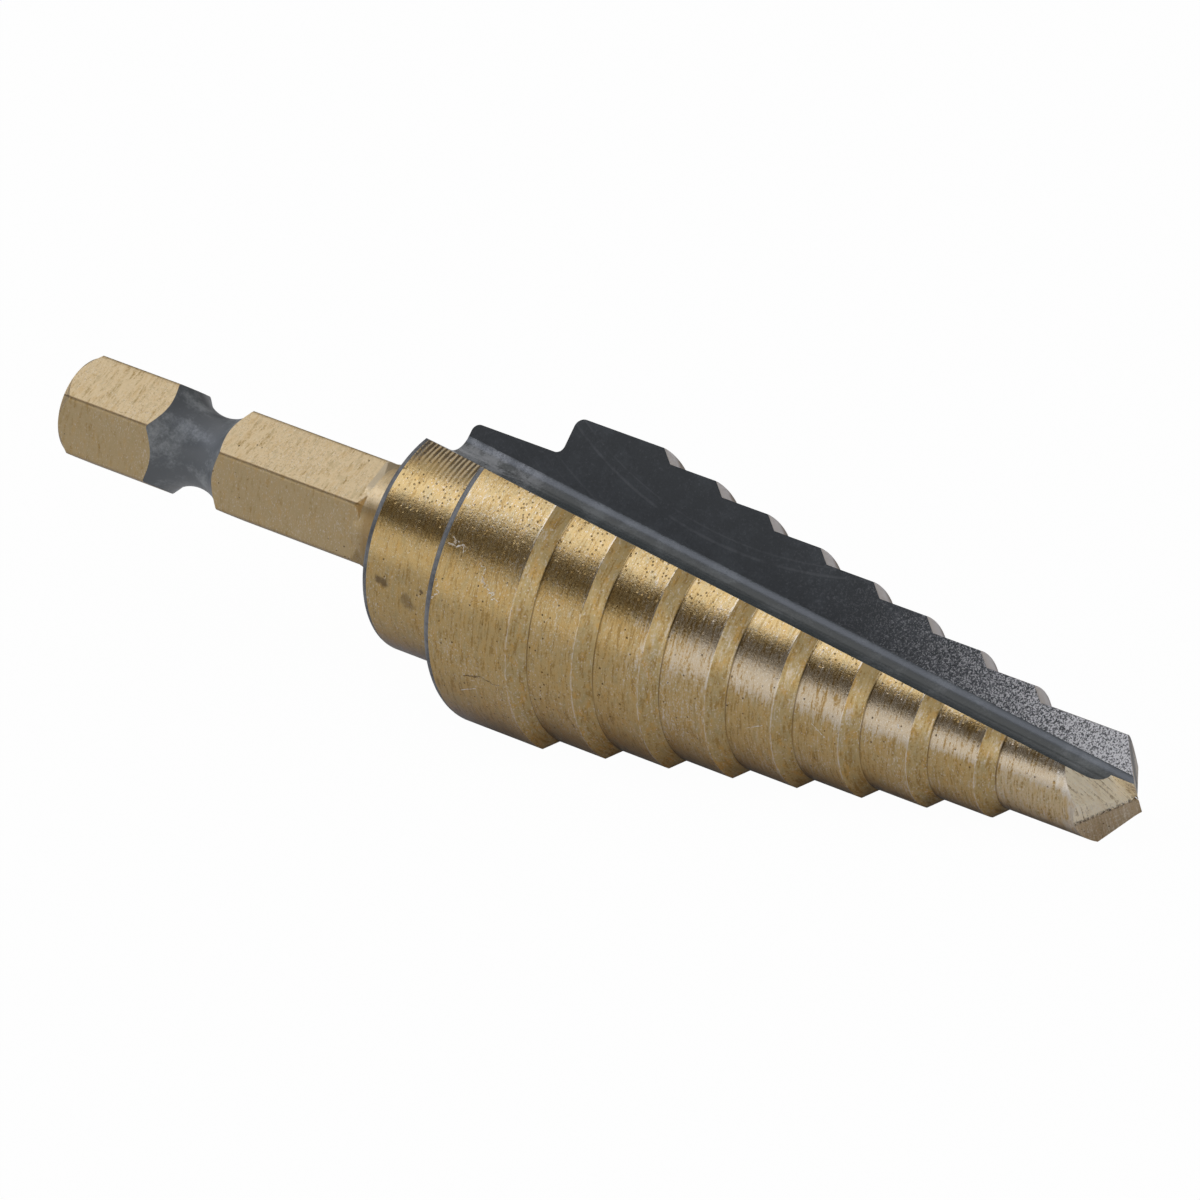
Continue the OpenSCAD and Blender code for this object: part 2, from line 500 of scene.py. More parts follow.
@dataclass
class Point:
    """The ground point: two lip planes that meet in the chisel edge, and two heel notches that thin it."""

    s: Sizes
    reach: float = 12.0

    def block(self, along: float, low: Array, corners: Array) -> tuple[Array, Array]:
        """A block with upright sides above a sloping floor.

        Args:
            along: the direction of its first side, as an angle about the axis.
            low: the floor's plane as height on the axis and slopes along x and y.
            corners: its plan, as rows of distance along and across.

        Returns:
            The block's points and faces.
        """
        a = np.array([math.cos(along), math.sin(along)])
        b = np.array([-a[1], a[0]])
        plan = corners[:, :1] * a + corners[:, 1:] * b
        floor = low[0] + plan @ low[1:]
        lower = np.column_stack([plan, floor])
        upper = np.column_stack([plan, np.full(4, floor.max() + self.reach)])
        faces = np.array([[3, 2, 1, 0], [4, 5, 6, 7], [0, 1, 5, 4], [1, 2, 6, 5], [2, 3, 7, 6], [3, 0, 4, 7]])
        return np.concatenate([lower, upper]), faces

    def cutters(self) -> list[tuple[Array, Array, Finish]]:
        """The blocks that the point's grinding clears, with the finish that each leaves on its floor."""
        s, far = self.s, self.reach
        chisel = math.radians(s.chisel_angle)
        whole = np.array([[-far, -far], [far, -far], [far, far], [-far, far]])
        side = np.array([[-far, -far], [far, -far], [far, 0.0], [-far, 0.0]])
        lip_slope = 1 / math.tan(math.radians(s.point_angle / 2))
        heel_slope = 1 / math.tan(math.radians(s.heel_angle))
        heel = math.pi - math.radians(s.heel_turn_in)
        blocks = []
        for height, slope, down, plan in ((s.tip_z, lip_slope, chisel, whole),
                                          (s.tip_z - s.heel_depth, heel_slope, heel, side)):
            for turn in (0.0, math.pi):
                low = np.array([height, -slope * math.cos(down + turn), -slope * math.sin(down + turn)])
                blocks.append((*self.block(chisel + turn - math.pi / 2, low, plan), Finish.POINT))
        return blocks


def mesh_object(name: str, points: Array, faces: Array, finishes: Array) -> bpy.types.Object:
    """Makes an object of points and faces, with the material index of each face.

    Args:
        name: the object's name.
        points: its points in metres.
        faces: rows of point numbers.
        finishes: one slot number per face.

    Returns:
        The object, linked into the scene.
    """
    mesh = bpy.data.meshes.new(name)
    mesh.from_pydata(points.tolist(), [], faces.tolist())
    for finish in Finish:
        mesh.materials.append(bpy.data.materials.get(finish.name) or bpy.data.materials.new(finish.name))
    mesh.polygons.foreach_set("material_index", np.asarray(finishes, dtype=np.int32))
    mesh.validate()
    obj = bpy.data.objects.new(name, mesh)
    bpy.context.collection.objects.link(obj)
    return obj


@dataclass
class StepDrill:
    """The whole drill, one piece: shank, collar and steps as one skin, and the point ground from it."""

    s: Sizes
    rest: Rest
    spare: float = 2.0
    sharp: float = 24.0
    neck_steps: int = 12
    collar_face: tuple[float, ...] = (0.3, 0.65, 1.0)
    merge: float = 2e-7
    sliver: float = 1e-8

    def skin(self) -> tuple[Array, Array, Array]:
        """The skin from the shank's end to a blank end past the tip, in the tool's frame."""
        flutes, outline, shank = Flutes(self.s), Outline(self.s), Shank(self.s)
        rows = outline.rows(self.s.tip_z + self.spare)
        first = flutes.section(rows[0][0], rows[0][1])
        count = flutes.count
        spoke = np.unwrap(np.arctan2(first[:, 1], first[:, 0]))
        grid = Grid()
        rings = shank.rings(count, float(spoke[0]))
        for ring, finish in rings:
            grid.add(ring, finish)
        # The neck: each point's angle turns evenly from the shank's columns to the collar's
        neck_r, neck_z = self.s.neck_d / 2, self.s.shank_len - self.s.neck_len
        last = rings[-1][0]
        column = np.unwrap(np.arctan2(last[:, 1], last[:, 0]))
        column += 2 * math.pi * round(float(spoke[0] - column[0]) / (2 * math.pi))
        for share in shares(self.neck_steps):
            angle = column + (spoke - column) * share
            ring = np.column_stack([polar(np.full(count, neck_r), angle),
                                    np.full(count, neck_z + (self.s.shank_len - neck_z) * share)])
            grid.add(ring, Finish.SHANK)
        start = np.column_stack([polar(np.full(count, neck_r), spoke), np.full(count, self.s.shank_len)])
        for share in self.collar_face:
            grid.add(start + (first - start) * share, Finish.COLLAR)
        for z, r, finish in rows[1:]:
            grid.add(flutes.section(z, r), flutes.half_finishes(finish))
        return grid.skin()

    def capped(self) -> bpy.types.Object:
        """The skin as a closed object, with a face across each end."""
        points, quads, finishes = self.skin()
        obj = mesh_object("step_drill_piece", points * MM, quads, finishes)
        work = bmesh.new()
        work.from_mesh(obj.data)
        bmesh.ops.remove_doubles(work, verts=work.verts, dist=self.merge)
        open_edges = [e for e in work.edges if e.is_boundary]
        for face in bmesh.ops.holes_fill(work, edges=open_edges, sides=0)["faces"]:
            face.material_index = Finish.SHANK
        bmesh.ops.recalc_face_normals(work, faces=work.faces)
        work.to_mesh(obj.data)
        work.free()
        return obj

    def ground(self, obj: bpy.types.Object) -> None:
        """Grinds the point: takes each of the point's blocks off the blank end."""
        cutters = []
        for i, (points, faces, finish) in enumerate(Point(self.s).cutters()):
            cutter = mesh_object(f"grind_{i}", points * MM, faces, np.full(len(faces), finish))
            cutters.append(cutter)
            cut = obj.modifiers.new(f"grind_{i}", "BOOLEAN")
            cut.operation, cut.solver, cut.object = "DIFFERENCE", "EXACT", cutter
            cut.material_mode = "INDEX"
        graph = bpy.context.evaluated_depsgraph_get()
        made = bpy.data.meshes.new_from_object(obj.evaluated_get(graph))
        obj.modifiers.clear()
        old, obj.data = obj.data, made
        bpy.data.meshes.remove(old)
        for cutter in cutters:
            mesh = cutter.data
            bpy.data.objects.remove(cutter)
            bpy.data.meshes.remove(mesh)

    def finish_mesh(self, obj: bpy.types.Object) -> None:
        """Merges doubled points, lays the drill in place and sets sharp edges."""
        work = bmesh.new()
        work.from_mesh(obj.data)
        bmesh.ops.remove_doubles(work, verts=work.verts, dist=self.merge)
        bmesh.ops.dissolve_degenerate(work, dist=self.sliver, edges=work.edges)
        work.to_mesh(obj.data)
        work.free()
        mesh = obj.data
        flat = np.empty(len(mesh.vertices) * 3)
        mesh.vertices.foreach_get("co", flat)
        mesh.vertices.foreach_set("co", self.rest.place(flat.reshape(-1, 3) / MM).ravel())
        mesh.update()
        mesh.polygons.foreach_set("use_smooth", np.ones(len(mesh.polygons), dtype=bool))
        mesh.set_sharp_from_angle(angle=math.radians(self.sharp))
        obj.name = mesh.name = "step_drill_body"

    def build(self) -> bpy.types.Object:
        """Builds the drill.

        Returns:
            The finished object, before its materials.
        """
        obj = self.capped()
        self.ground(obj)
        self.finish_mesh(obj)
        return obj


class Expr:
    """A socket's value in a material, written with ordinary arithmetic; each operator adds a Math node."""

    def __init__(self, graph: "Graph", socket: bpy.types.NodeSocket) -> None:
        """Wraps a socket of a graph."""
        self.graph, self.socket = graph, socket

    def math(self, operation: str, *others: "Value", first: bool = True, clamp: bool = False) -> "Expr":
        """Adds a Math node on this value and others.

        Args:
            operation: the node's operation.
            others: its other values.
            first: whether this value comes before the others.
            clamp: whether the result is kept between 0 and 1.

        Returns:
            The result.
        """
        values = (self, *others) if first else (*others, self)
        return self.graph.add("Math", {"operation": operation, "use_clamp": clamp}, dict(enumerate(values)))

    def __add__(self, other: "Value") -> "Expr":
        """The sum."""
        return self.math("ADD", other)

    __radd__ = __add__

    def __sub__(self, other: "Value") -> "Expr":
        """The difference."""
        return self.math("SUBTRACT", other)

    def __rsub__(self, other: "Value") -> "Expr":
        """The difference, this value last."""
        return self.math("SUBTRACT", other, first=False)

    def __mul__(self, other: "Value") -> "Expr":
        """The product."""
        return self.math("MULTIPLY", other)

    __rmul__ = __mul__

    def __truediv__(self, other: "Value") -> "Expr":
        """The quotient."""
        return self.math("DIVIDE", other)

    def __abs__(self) -> "Expr":
        """The size without its sign."""
        return self.math("ABSOLUTE")

    def rise(self, low: float, high: float) -> "Expr":
        """A smooth step: 0 up to low and 1 from high, or the other way round where low is the larger."""
        return self.graph.add("MapRange", {"interpolation_type": "SMOOTHSTEP"}, {0: self, 1: low, 2: high})


Value = float | tuple | Expr


@dataclass
class Graph:
    """A material's nodes."""

    tree: bpy.types.NodeTree

    def add(self, kind: str, settings: dict[str, object], inputs: dict[int | str, Value],
            out: int | str = 0) -> Expr:
        """Adds any node.

        Args:
            kind: the node's type without its prefix.
            settings: its settings, which are set first.
            inputs: values or links of its sockets.
            out: the output that is wanted.

        Returns:
            That output.
        """
        node = self.tree.nodes.new(f"ShaderNode{kind}")
        for name, value in settings.items():
            setattr(node, name, value)
        for key, value in inputs.items():
            if isinstance(value, Expr):
                self.tree.links.new(value.socket, node.inputs[key])
            else:
                node.inputs[key].default_value = value
        return Expr(self, node.outputs[out])

    def mix(self, low: Value, high: Value, share: Value) -> Expr:
        """A colour that goes from low to high with share."""
        pair = {key: v if isinstance(v, Expr) else (*v, 1.0) for key, v in ((6, low), (7, high))}
        return self.add("Mix", {"data_type": "RGBA"}, {0: share, **pair}, 2)

    def join(self, x: Value, y: Value, z: Value) -> Expr:
        """A vector of three values."""
        return self.add("CombineXYZ", {}, {0: x, 1: y, 2: z})

    def noise(self, where: Expr, scale: float = 1.0, detail: float = 2.0, roughness: float = 0.5) -> Expr:
        """Soft noise about a half, at scale waves to each unit of where."""
        inputs = {"Vector": where, "Scale": scale, "Detail": detail, "Roughness": roughness}
        return self.add("TexNoise", {}, inputs)

    def cells(self, where: Expr, scale: float, out: int = 0) -> Expr:
        """Distance to the nearest of scattered points, or the colour of the nearest with out at 1."""
        return self.add("TexVoronoi", {}, {"Vector": where, "Scale": scale}, out)

    def bump(self, height: Expr, relief: float, base: Expr | None = None) -> Expr:
        """The surface's normal under a relief of that height in millimetres."""
        under = {} if base is None else {"Normal": base}
        return self.add("Bump", {}, {"Strength": 1.0, "Distance": relief * MM, "Height": height, **under})


class Lay(Enum):
    """The way that a surface's tool marks run."""

    TURNED = "round the axis"
    GROUND = "down the point's flanks"


@dataclass
class ToolSpace:
    """The drill's own coordinates inside a material, in millimetres.

    Facing is the angle about the axis, in degrees, from the direction that lies side degrees past -x.
    """

    graph: Graph
    rest: Rest
    sizes: Sizes
    side: float = 9.342
    edge_margin: float = 0.995
    x: Expr = field(init=False)
    y: Expr = field(init=False)
    z: Expr = field(init=False)
    radius: Expr = field(init=False)
    facing: Expr = field(init=False)

    def __post_init__(self) -> None:
        """Each coordinate is the place's dot product with an axis, less that of the shank's end."""
        place = self.graph.add("TexCoord", {}, {}, "Object")
        axes, origin = self.rest.axes(), self.rest.origin()
        self.x, self.y, self.z = (
            self.graph.add("VectorMath", {"operation": "DOT_PRODUCT"}, {0: place, 1: tuple(axis / MM)}, 1)
            - float(axis @ origin) for axis in axes)
        self.radius = (self.x * self.x + self.y * self.y).math("SQRT")
        c, s = math.cos(math.radians(self.side)), math.sin(math.radians(self.side))
        out = self.x * -c - self.y * s
        up = self.x * -s + self.y * c
        self.facing = up.math("ARCTAN2", out) * (180 / math.pi)

    def plain(self) -> Expr:
        """The place itself."""
        return self.graph.join(self.x, self.y, self.z)

    def lay(self, lay: Lay, along: float, across: float) -> Expr:
        """The place drawn out along the tool marks.

        Args:
            lay: the way that the marks run.
            along: waves to the millimetre along a mark.
            across: waves to the millimetre across the marks.

        Returns:
            The vector for a texture.
        """
        if lay is Lay.TURNED:
            return self.graph.join(self.x * along, self.y * along, self.z * across)
        turn = math.radians(self.sizes.chisel_angle)
        c, s = math.cos(turn), math.sin(turn)
        flank, chisel = self.x * c + self.y * s, self.y * c - self.x * s
        return self.graph.join(flank * across, chisel * along, self.z * along)

    def behind_edge(self) -> Expr:
        """How far behind its step's front edge a place is, along the axis: what is left of its pitch."""
        s = self.sizes
        within = self.z.math("MAXIMUM", s.first_edge_z - self.edge_margin * s.step_pitch)
        within = within.math("MINIMUM", s.pilot_z)
        return (1 - ((within - s.first_edge_z) / s.step_pitch + 1).math("FRACT")) * s.step_pitch

    def stroke(self, start: Span, end: Span, width: float, wobble: Expr) -> Expr:
        """A mark along a line on the surface: near 1 where the distance to the line is under its width.

        The foot of the place on the line lies at the share of it that the dot product of the way gone and the
        line, over the line with itself, gives.

        Args:
            start: the facing angle and station where it begins.
            end: those where it ends.
            width: half its width in millimetres.
            wobble: a value about zero that bends it.

        Returns:
            The mark's mask.
        """
        scale = self.radius * (math.pi / 180)
        at = self.graph.join(self.facing * scale + wobble, self.z + wobble * 1.3, 0.0)
        a = self.graph.join(scale * start[0], start[1], 0.0)
        b = self.graph.join(scale * end[0], end[1], 0.0)

        def vector(operation: str, first: Expr, second: Expr, out: int = 0, key: int | str = 1) -> Expr:
            """Adds a Vector Math node on two values."""
            return self.graph.add("VectorMath", {"operation": operation}, {0: first, key: second}, out)

        span, gone = vector("SUBTRACT", b, a), vector("SUBTRACT", at, a)
        length = vector("DOT_PRODUCT", span, span, 1) + 1e-6
        share = vector("DOT_PRODUCT", gone, span, 1).math("DIVIDE", length, clamp=True)
        foot = vector("SCALE", span, share, key="Scale")
        return vector("DISTANCE", gone, foot, 1).rise(width * 1.6, width * 0.5)


@dataclass(frozen=True)
class Mark:
    """A mark on the surface: a stroke between two facing angles and stations."""

    start: Span
    end: Span
    width: float
    wobble: float = 0.25
    depth: float = 0.8


@dataclass(frozen=True)
class Tints:
    """Colours of the worn, bare and stained places on the gold coat, and of the light and shade painted on
    it.
    """

    # Partly the smallest step's greyer coat, partly painted light against the shade near the floor.
    pilot: Colour = (0.70, 0.55, 0.33)
    # Painted light on the point's facets above its lower ones.
    heel: Colour = (1.0, 0.90, 0.70)
    # Painted light on the shank's upper flats.
    upper_flat: Colour = (0.79, 0.62, 0.37)
    pit: Colour = (0.11, 0.065, 0.025)
    # Bare front edges, and a painted highlight along them.
    worn_edge_and_highlight: Colour = (0.86, 0.82, 0.74)
    # Painted shade in the crease at each bevel's foot.
    foot: Colour = (0.20, 0.12, 0.04)
    # Painted shade along the hexagon's corner.
    corner: Colour = (0.17, 0.105, 0.045)
    # Painted shade on the neck's lower side by the collar.
    neck: Colour = (0.34, 0.215, 0.085)
    spot: Colour = (0.40, 0.27, 0.13)
    # Painted light on the shoulder against the dark that it reflects.
    shoulder: Colour = (0.80, 0.66, 0.43)
    # Painted highlight on the collar's ridges.
    ridge_top: Colour = (0.60, 0.55, 0.47)
    # Painted shade between the collar's ridges.
    ridge_gap: Colour = (0.075, 0.06, 0.045)
    ridge_rear: Colour = (0.13, 0.125, 0.12)
    scratch: Colour = (0.92, 0.90, 0.86)
    stain: Colour = (0.10, 0.07, 0.05)
    chipped: Colour = (0.90, 0.87, 0.82)
    chisel: Colour = (0.09, 0.06, 0.04)


@dataclass(frozen=True)
class Sides:
    """Facing angles, in degrees, that each kind of wear and of painted light and shade begins at and is full
    from.
    """

    heel: Span = (-62.0, -54.0)
    foot: Span = (-50.0, -28.0)
    belt_low: Span = (-27.0, -17.0)
    belt_high: Span = (12.0, 0.0)
    neck: Span = (14.0, -2.0)
    upper_flat: Span = (2.6, 4.0)
    pepper: Span = (4.0, 11.0)
    shoulder: Span = (18.0, 28.0)
    ridges: Span = (24.0, 40.0)
    ridges_end: Span = (150.0, 120.0)
    far_lip: Span = (66.0, 80.0)


@dataclass
class Coat:
    """The gold coat in one material: each method lays one kind of wear, or of painted light and shade, over
    what is there already.
    """

    g: Graph
    tool: ToolSpace
    gold: "Gold"
    tints: Tints = Tints()
    sides: Sides = Sides()
    front_z: Span = (42.0, 52.0)
    ridge_pitch: float = 0.34
    ridge_relief: float = 0.02
    metal: Value = 1.0
    plain: Expr = field(init=False)
    lines: Expr = field(init=False)
    fine: Expr = field(init=False)
    blotch: Expr = field(init=False)
    broad: Expr = field(init=False)
    rough: Expr = field(init=False)
    height: Expr = field(init=False)
    colour: Value = field(init=False)
    normal: Expr = field(init=False)

    def __post_init__(self) -> None:
        """Sets up the textures that all the wear shares: tool lines, sparkle, blotches and broad patches."""
        g, lay = self.g, self.gold.lay
        self.plain = self.tool.plain()
        self.lines = g.noise(self.tool.lay(lay, self.gold.along, self.gold.across), 1.0, 3.0, 0.6)
        self.fine = g.noise(self.plain, 6.5, 3.0, 0.75)
        self.blotch = g.noise(self.tool.lay(lay, 1.1, 2.6), 1.0, 3.0, 0.6)
        self.broad = g.noise(self.plain, 0.28, 3.0, 0.55)
        self.rough = self.gold.roughness + (self.fine - 0.5) * 0.2 + (self.broad - 0.5) * 0.08
        self.height = self.lines * 0.55 + self.fine * 0.45
        self.colour = self.gold.colour

    def tint(self, colour: Value, share: Value) -> None:
        """Takes the coat's colour towards another by share."""
        self.colour = self.g.mix(self.colour, colour, share)

    def zones(self) -> None:
        """Sets off the smallest step, the point's lower facets and the shank's upper flats from the rest, by
        painted light: the smallest step paler, partly for its greyer coat and partly against the shade near
        the floor; the point's other facets and the shank's upper flats lighter, as if lit.
        """
        pilot_z = self.tool.sizes.pilot_z
        if self.gold.ground_edge_and_lit_pilot:
            # Paler smallest step: partly its greyer coat, partly painted light against the shade near the
            # floor.
            self.tint(self.tints.pilot, self.tool.z.rise(pilot_z - 0.3, pilot_z + 0.6))
        if self.gold.chisel_chips_and_lit_facets:
            # Painted light: the point's facets above its lower ones are coloured much lighter, as if lit.
            self.tint(self.tints.heel, self.tool.facing.rise(*self.sides.heel))
        if self.gold.hex_end:
            # Painted light: the shank's upper flats are coloured paler, as if lit from above.
            self.tint(self.tints.upper_flat, self.tool.facing.rise(*self.sides.upper_flat))

    def weather(self) -> None:
        """Mottles the coat, browns it between the lines, rubs it pale where it is worn and paints a pale
        highlight on the front steps, and flecks it.

        Tone is the lines and the sparkle about zero, as strong as the grain. Low tone turns brown, and high
        tone pale, the more so the more the place is worn. The front steps are paled most in a belt, partly
        worn and partly a painted highlight where they face the front lamp.
        """
        gold, tool, sides = self.gold, self.tool, self.sides
        tone = (self.lines - 0.5) * (1.3 * gold.grain) + (self.fine - 0.5) * (0.8 * gold.grain)
        self.tint(gold.orange, self.blotch.rise(0.50, 0.68) * gold.mottle)
        self.tint(gold.olive, self.blotch.rise(0.48, 0.34) * gold.mottle)
        self.tint(gold.brown, (tone * -1 + (0.5 - self.broad) * 0.3).rise(0.02, 0.36))
        rubbed_and_sheen: Value = gold.wear
        if gold.front_wear_and_sheen:
            # The belt pales the side of the front steps that faces the front lamp: partly wear, partly a
            # painted highlight.
            belt = tool.facing.rise(*sides.belt_low) * tool.facing.rise(*sides.belt_high)
            rubbed_and_sheen = tool.z.rise(*self.front_z) * (belt + 0.25) * gold.front_wear_and_sheen + gold.wear
        worn = (tone + (self.broad - 0.5) * 0.6 + rubbed_and_sheen - 0.35).rise(0.0, 0.5)
        self.tint(gold.pale, worn * 0.8)
        fleck = self.g.noise(tool.lay(gold.lay, 6.0, 13.0), 1.0, 2.0, 0.6)
        self.tint(gold.silver, (fleck + (self.broad - 0.5) * 0.25).rise(0.57, 0.70) * gold.flecks)

    def pit(self) -> None:
        """Pits the coat with dark holes in patches, and peppers the upper side with smaller ones."""
        g, gold = self.g, self.gold
        dots = g.cells(self.plain, 1.9)
        crowd = g.noise(self.plain, 0.16, 1.0)
        hole = dots.rise(0.14, 0.06) * (crowd + gold.pits - 0.4).rise(0.42, 0.58)
        if gold.pepper:
            above = self.tool.facing.rise(*self.sides.pepper) * (self.blotch * 0.5 + crowd).rise(0.62, 0.80)
            hole = hole.math("MAXIMUM", g.cells(self.plain, 3.4).rise(0.27, 0.13) * above * gold.pepper)
        self.tint(self.tints.pit, hole * 0.85)
        self.height = self.height - hole * 1.5

    def wear_light_and_shade_steps(self) -> None:
        """Bares the steps' front edges in places, with a painted highlight along them, and paints shade in
        the crease at the foot of each bevel.
        """
        tool, s = self.tool, self.tool.sizes
        behind = tool.behind_edge()
        ragged = self.g.noise(tool.lay(self.gold.lay, 1.4, 1.4), 1.0, 2.0)
        # Pale along the front edges: bared coat and a painted highlight.
        rim = (behind + (ragged - 0.5) * 0.5).rise(0.14, 0.02) * ragged.rise(0.30, 0.55)
        self.tint(self.tints.worn_edge_and_highlight, rim * 0.6)
        # Painted shade in the crease at each bevel's foot, stronger on the upper side.
        foot = abs(behind - (s.step_pitch - s.bevel_len)).rise(0.19, 0.05)
        foot = foot * tool.z.rise(s.first_edge_z, s.first_edge_z + 0.1)
        foot = foot * tool.z.rise(s.pilot_z + 0.2, s.pilot_z + 0.1)
        self.tint(self.tints.foot, foot * (tool.facing.rise(*self.sides.foot) * 0.35 + 0.5))

    def bare_lip_and_sheen(self) -> None:
        """Rubs the coat off beside the far cutting edge, from a station on; on the bevels its pale colour is
        partly bare edge and partly a painted reflection.
        """
        tool, gold = self.tool, self.gold
        lip = abs(tool.x * tool.y.math("SIGN") + 0.35).rise(1.5, 0.5) * tool.facing.rise(*self.sides.far_lip)
        lip = lip * tool.z.rise(gold.lip_wear_and_sheen - 0.3, gold.lip_wear_and_sheen)
        # On the bevels, whose lip colour is pale, this is partly bare edge and partly a painted reflection.
        self.tint(gold.lip_colour, lip * 0.9)
        self.metal = 1 - lip * 0.8

    def dress_shank(self) -> None:
        """Paints a shade line along the hexagon's corner between its upper and lower flats and shade on the
        neck's lower side by the collar, specks its upper flats, and paints its shoulder light against the
        dark that it reflects.
        """
        tool, sides, tints, end = self.tool, self.sides, self.tints, self.gold.hex_end
        # Painted shade: a dark line along the corner between the upper and lower flats.
        corner = abs(tool.facing - sides.upper_flat[0]).rise(1.5, 0.3) * tool.z.rise(end, end - 0.3)
        self.tint(tints.corner, corner * 0.7)
        # Painted shade: the neck's lower side is darkened next to the collar.
        neck = tool.z.rise(end, end + 0.6) * tool.facing.rise(*sides.neck)
        self.tint(tints.neck, neck * 0.6)
        spots = self.fine.rise(0.54, 0.62) * (self.broad + 0.05).rise(0.42, 0.56)
        self.tint(tints.spot, spots * tool.facing.rise(*sides.upper_flat) * 0.4)
        # Painted light: the shoulder's upper side is coloured pale and made less metallic, so that it no
        # longer shows the dark that it reflects.
        shoulder = tool.z.rise(end - 0.5, end - 0.42) * tool.facing.rise(*sides.shoulder)
        shoulder = shoulder * tool.z.rise(end + 0.06, end)
        self.tint(tints.shoulder, shoulder * 0.9)
        self.metal = 1 - shoulder * 0.9

    def raise_relief(self) -> None:
        """Turns the height of the lines, the sparkle and the pits into the surface's normal."""
        self.normal = self.g.bump(self.height, self.gold.relief)

    def ridge(self) -> None:
        """Turns ridges round the collar's top: a sine wave along the axis, with a painted highlight on the
        crests, painted shade between them, and dark at the rear.
        """
        tool, fine, start = self.tool, self.fine, self.gold.ridges
        top = (tool.facing + (self.broad - 0.5) * 14).rise(*self.sides.ridges)
        top = top * tool.facing.rise(*self.sides.ridges_end)
        wave = (tool.z * (2 * math.pi / self.ridge_pitch) + (self.lines - 0.5) * 4.0).math("SINE")
        self.normal = self.g.bump(wave * top, self.ridge_relief, self.normal)
        # Painted highlight: pale on the ridges' crests.
        self.tint(self.tints.ridge_top, top * (wave + fine * 1.5).rise(0.6, 1.6) * 0.5)
        # Painted shade in the grooves between the crests.
        self.tint(self.tints.ridge_gap, top * (wave * -1 + fine * 1.8).rise(0.5, 1.5) * 0.85)
        rear = (tool.z + (tool.facing - 40.0) * 0.04).rise(start + 1.3, start + 0.5)
        self.tint(self.tints.ridge_rear, rear * top * fine.rise(0.40, 0.52) * 0.9)

    def mark(self) -> None:
        """Draws the pale scratches and the dark stains."""
        wobble = self.g.noise(self.plain, 2.4, 2.0) - 0.5
        for mark in self.gold.scratches:
            line = self.tool.stroke(mark.start, mark.end, mark.width, wobble * mark.wobble)
            self.tint(self.tints.scratch, line * self.fine.rise(0.40, 0.55) * 0.8)
            self.rough = self.rough + line * 0.2
        for mark in self.gold.stains:
            line = self.tool.stroke(mark.start, mark.end, mark.width, wobble * mark.wobble)
            self.tint(self.tints.stain, line * (self.blotch + 0.15).rise(0.3, 0.7) * mark.depth)

    def chip_point(self) -> None:
        """Chips the coat where the point's grinding cuts the smallest step.

        What is left ahead of a place is the lower of the lip planes and the heel planes, less its station.
        Each plane falls from its height on the axis by the distance off the axis over its angle's tangent.
        """
        tool, s = self.tool, self.tool.sizes
        chisel, heel = math.radians(s.chisel_angle), math.pi - math.radians(s.heel_turn_in)
        lip_fall = abs(tool.x * math.cos(chisel) + tool.y * math.sin(chisel))
        lip_fall = lip_fall / math.tan(math.radians(s.point_angle / 2))
        heel_fall = abs(tool.x * math.cos(heel) + tool.y * math.sin(heel))
        heel_fall = heel_fall / math.tan(math.radians(s.heel_angle))
        left = (s.tip_z - tool.z - lip_fall).math("MINIMUM", s.tip_z - s.heel_depth - tool.z - heel_fall)
        chipped = (left + (self.blotch - 0.5) * 3.0).rise(0.85, 0.0)
        self.tint(self.tints.chipped, chipped * 0.5)

    def chip_chisel(self) -> None:
        """Speckles the chisel edge dark."""
        tool, turn = self.tool, math.radians(self.tool.sizes.chisel_angle)
        across = abs(tool.y * math.cos(turn) - tool.x * math.sin(turn) + (self.broad - 0.5) * 0.3)
        self.tint(self.tints.chisel, across.rise(0.22, 0.03) * self.fine.rise(0.44, 0.60) * 0.9)


